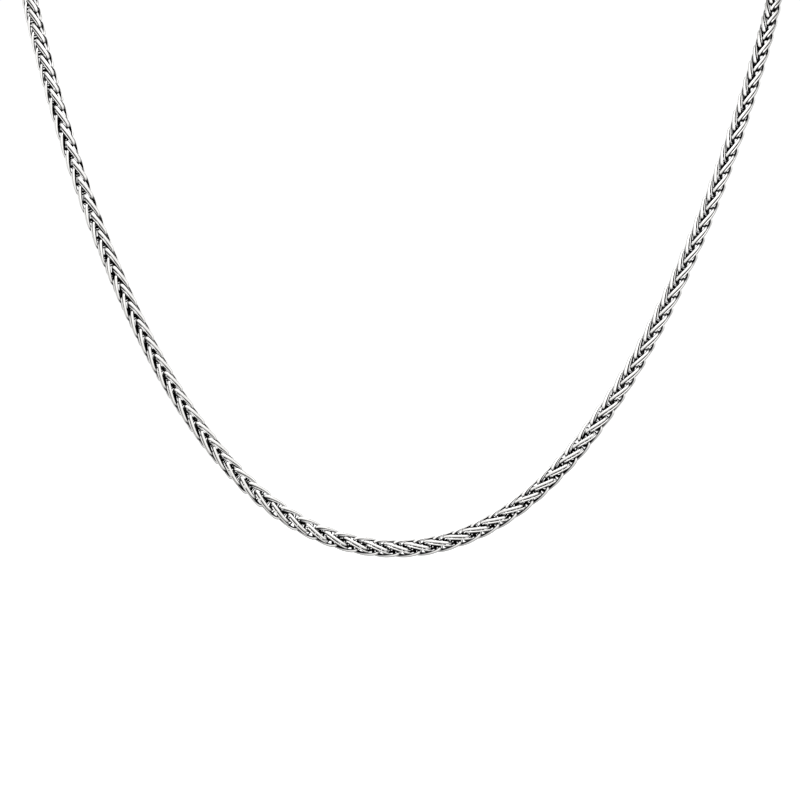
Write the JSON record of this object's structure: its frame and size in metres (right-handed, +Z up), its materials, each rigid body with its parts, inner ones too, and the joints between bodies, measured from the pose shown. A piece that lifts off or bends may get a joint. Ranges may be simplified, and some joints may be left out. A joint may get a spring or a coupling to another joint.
{
  "type": "foxtail neck chain",
  "caption": "Closed foxtail neck chain of interlocked wire rings with soldered end caps and a plain clasp, in the form it hangs in when worn.",
  "frame": {"origin": "middle of the clasp, where the closed chain lies on the nape", "axes": "+Z up, -Y to the front of the chest, +X across to the right of a viewer who looks along +Y"},
  "size_m": [0.1582, 0.1095, 0.1357],
  "materials": {
    "blackened_silver": "blackened silver, polished bright on the outer side of the wires",
    "polished_silver": "polished silver with dark traces in the corners"
  },
  "bodies": {
    "root": {"chain": "blackened_silver", "end_cap_left": "polished_silver", "end_cap_right": "polished_silver", "clasp": "polished_silver"}
  },
  "joints": []
}
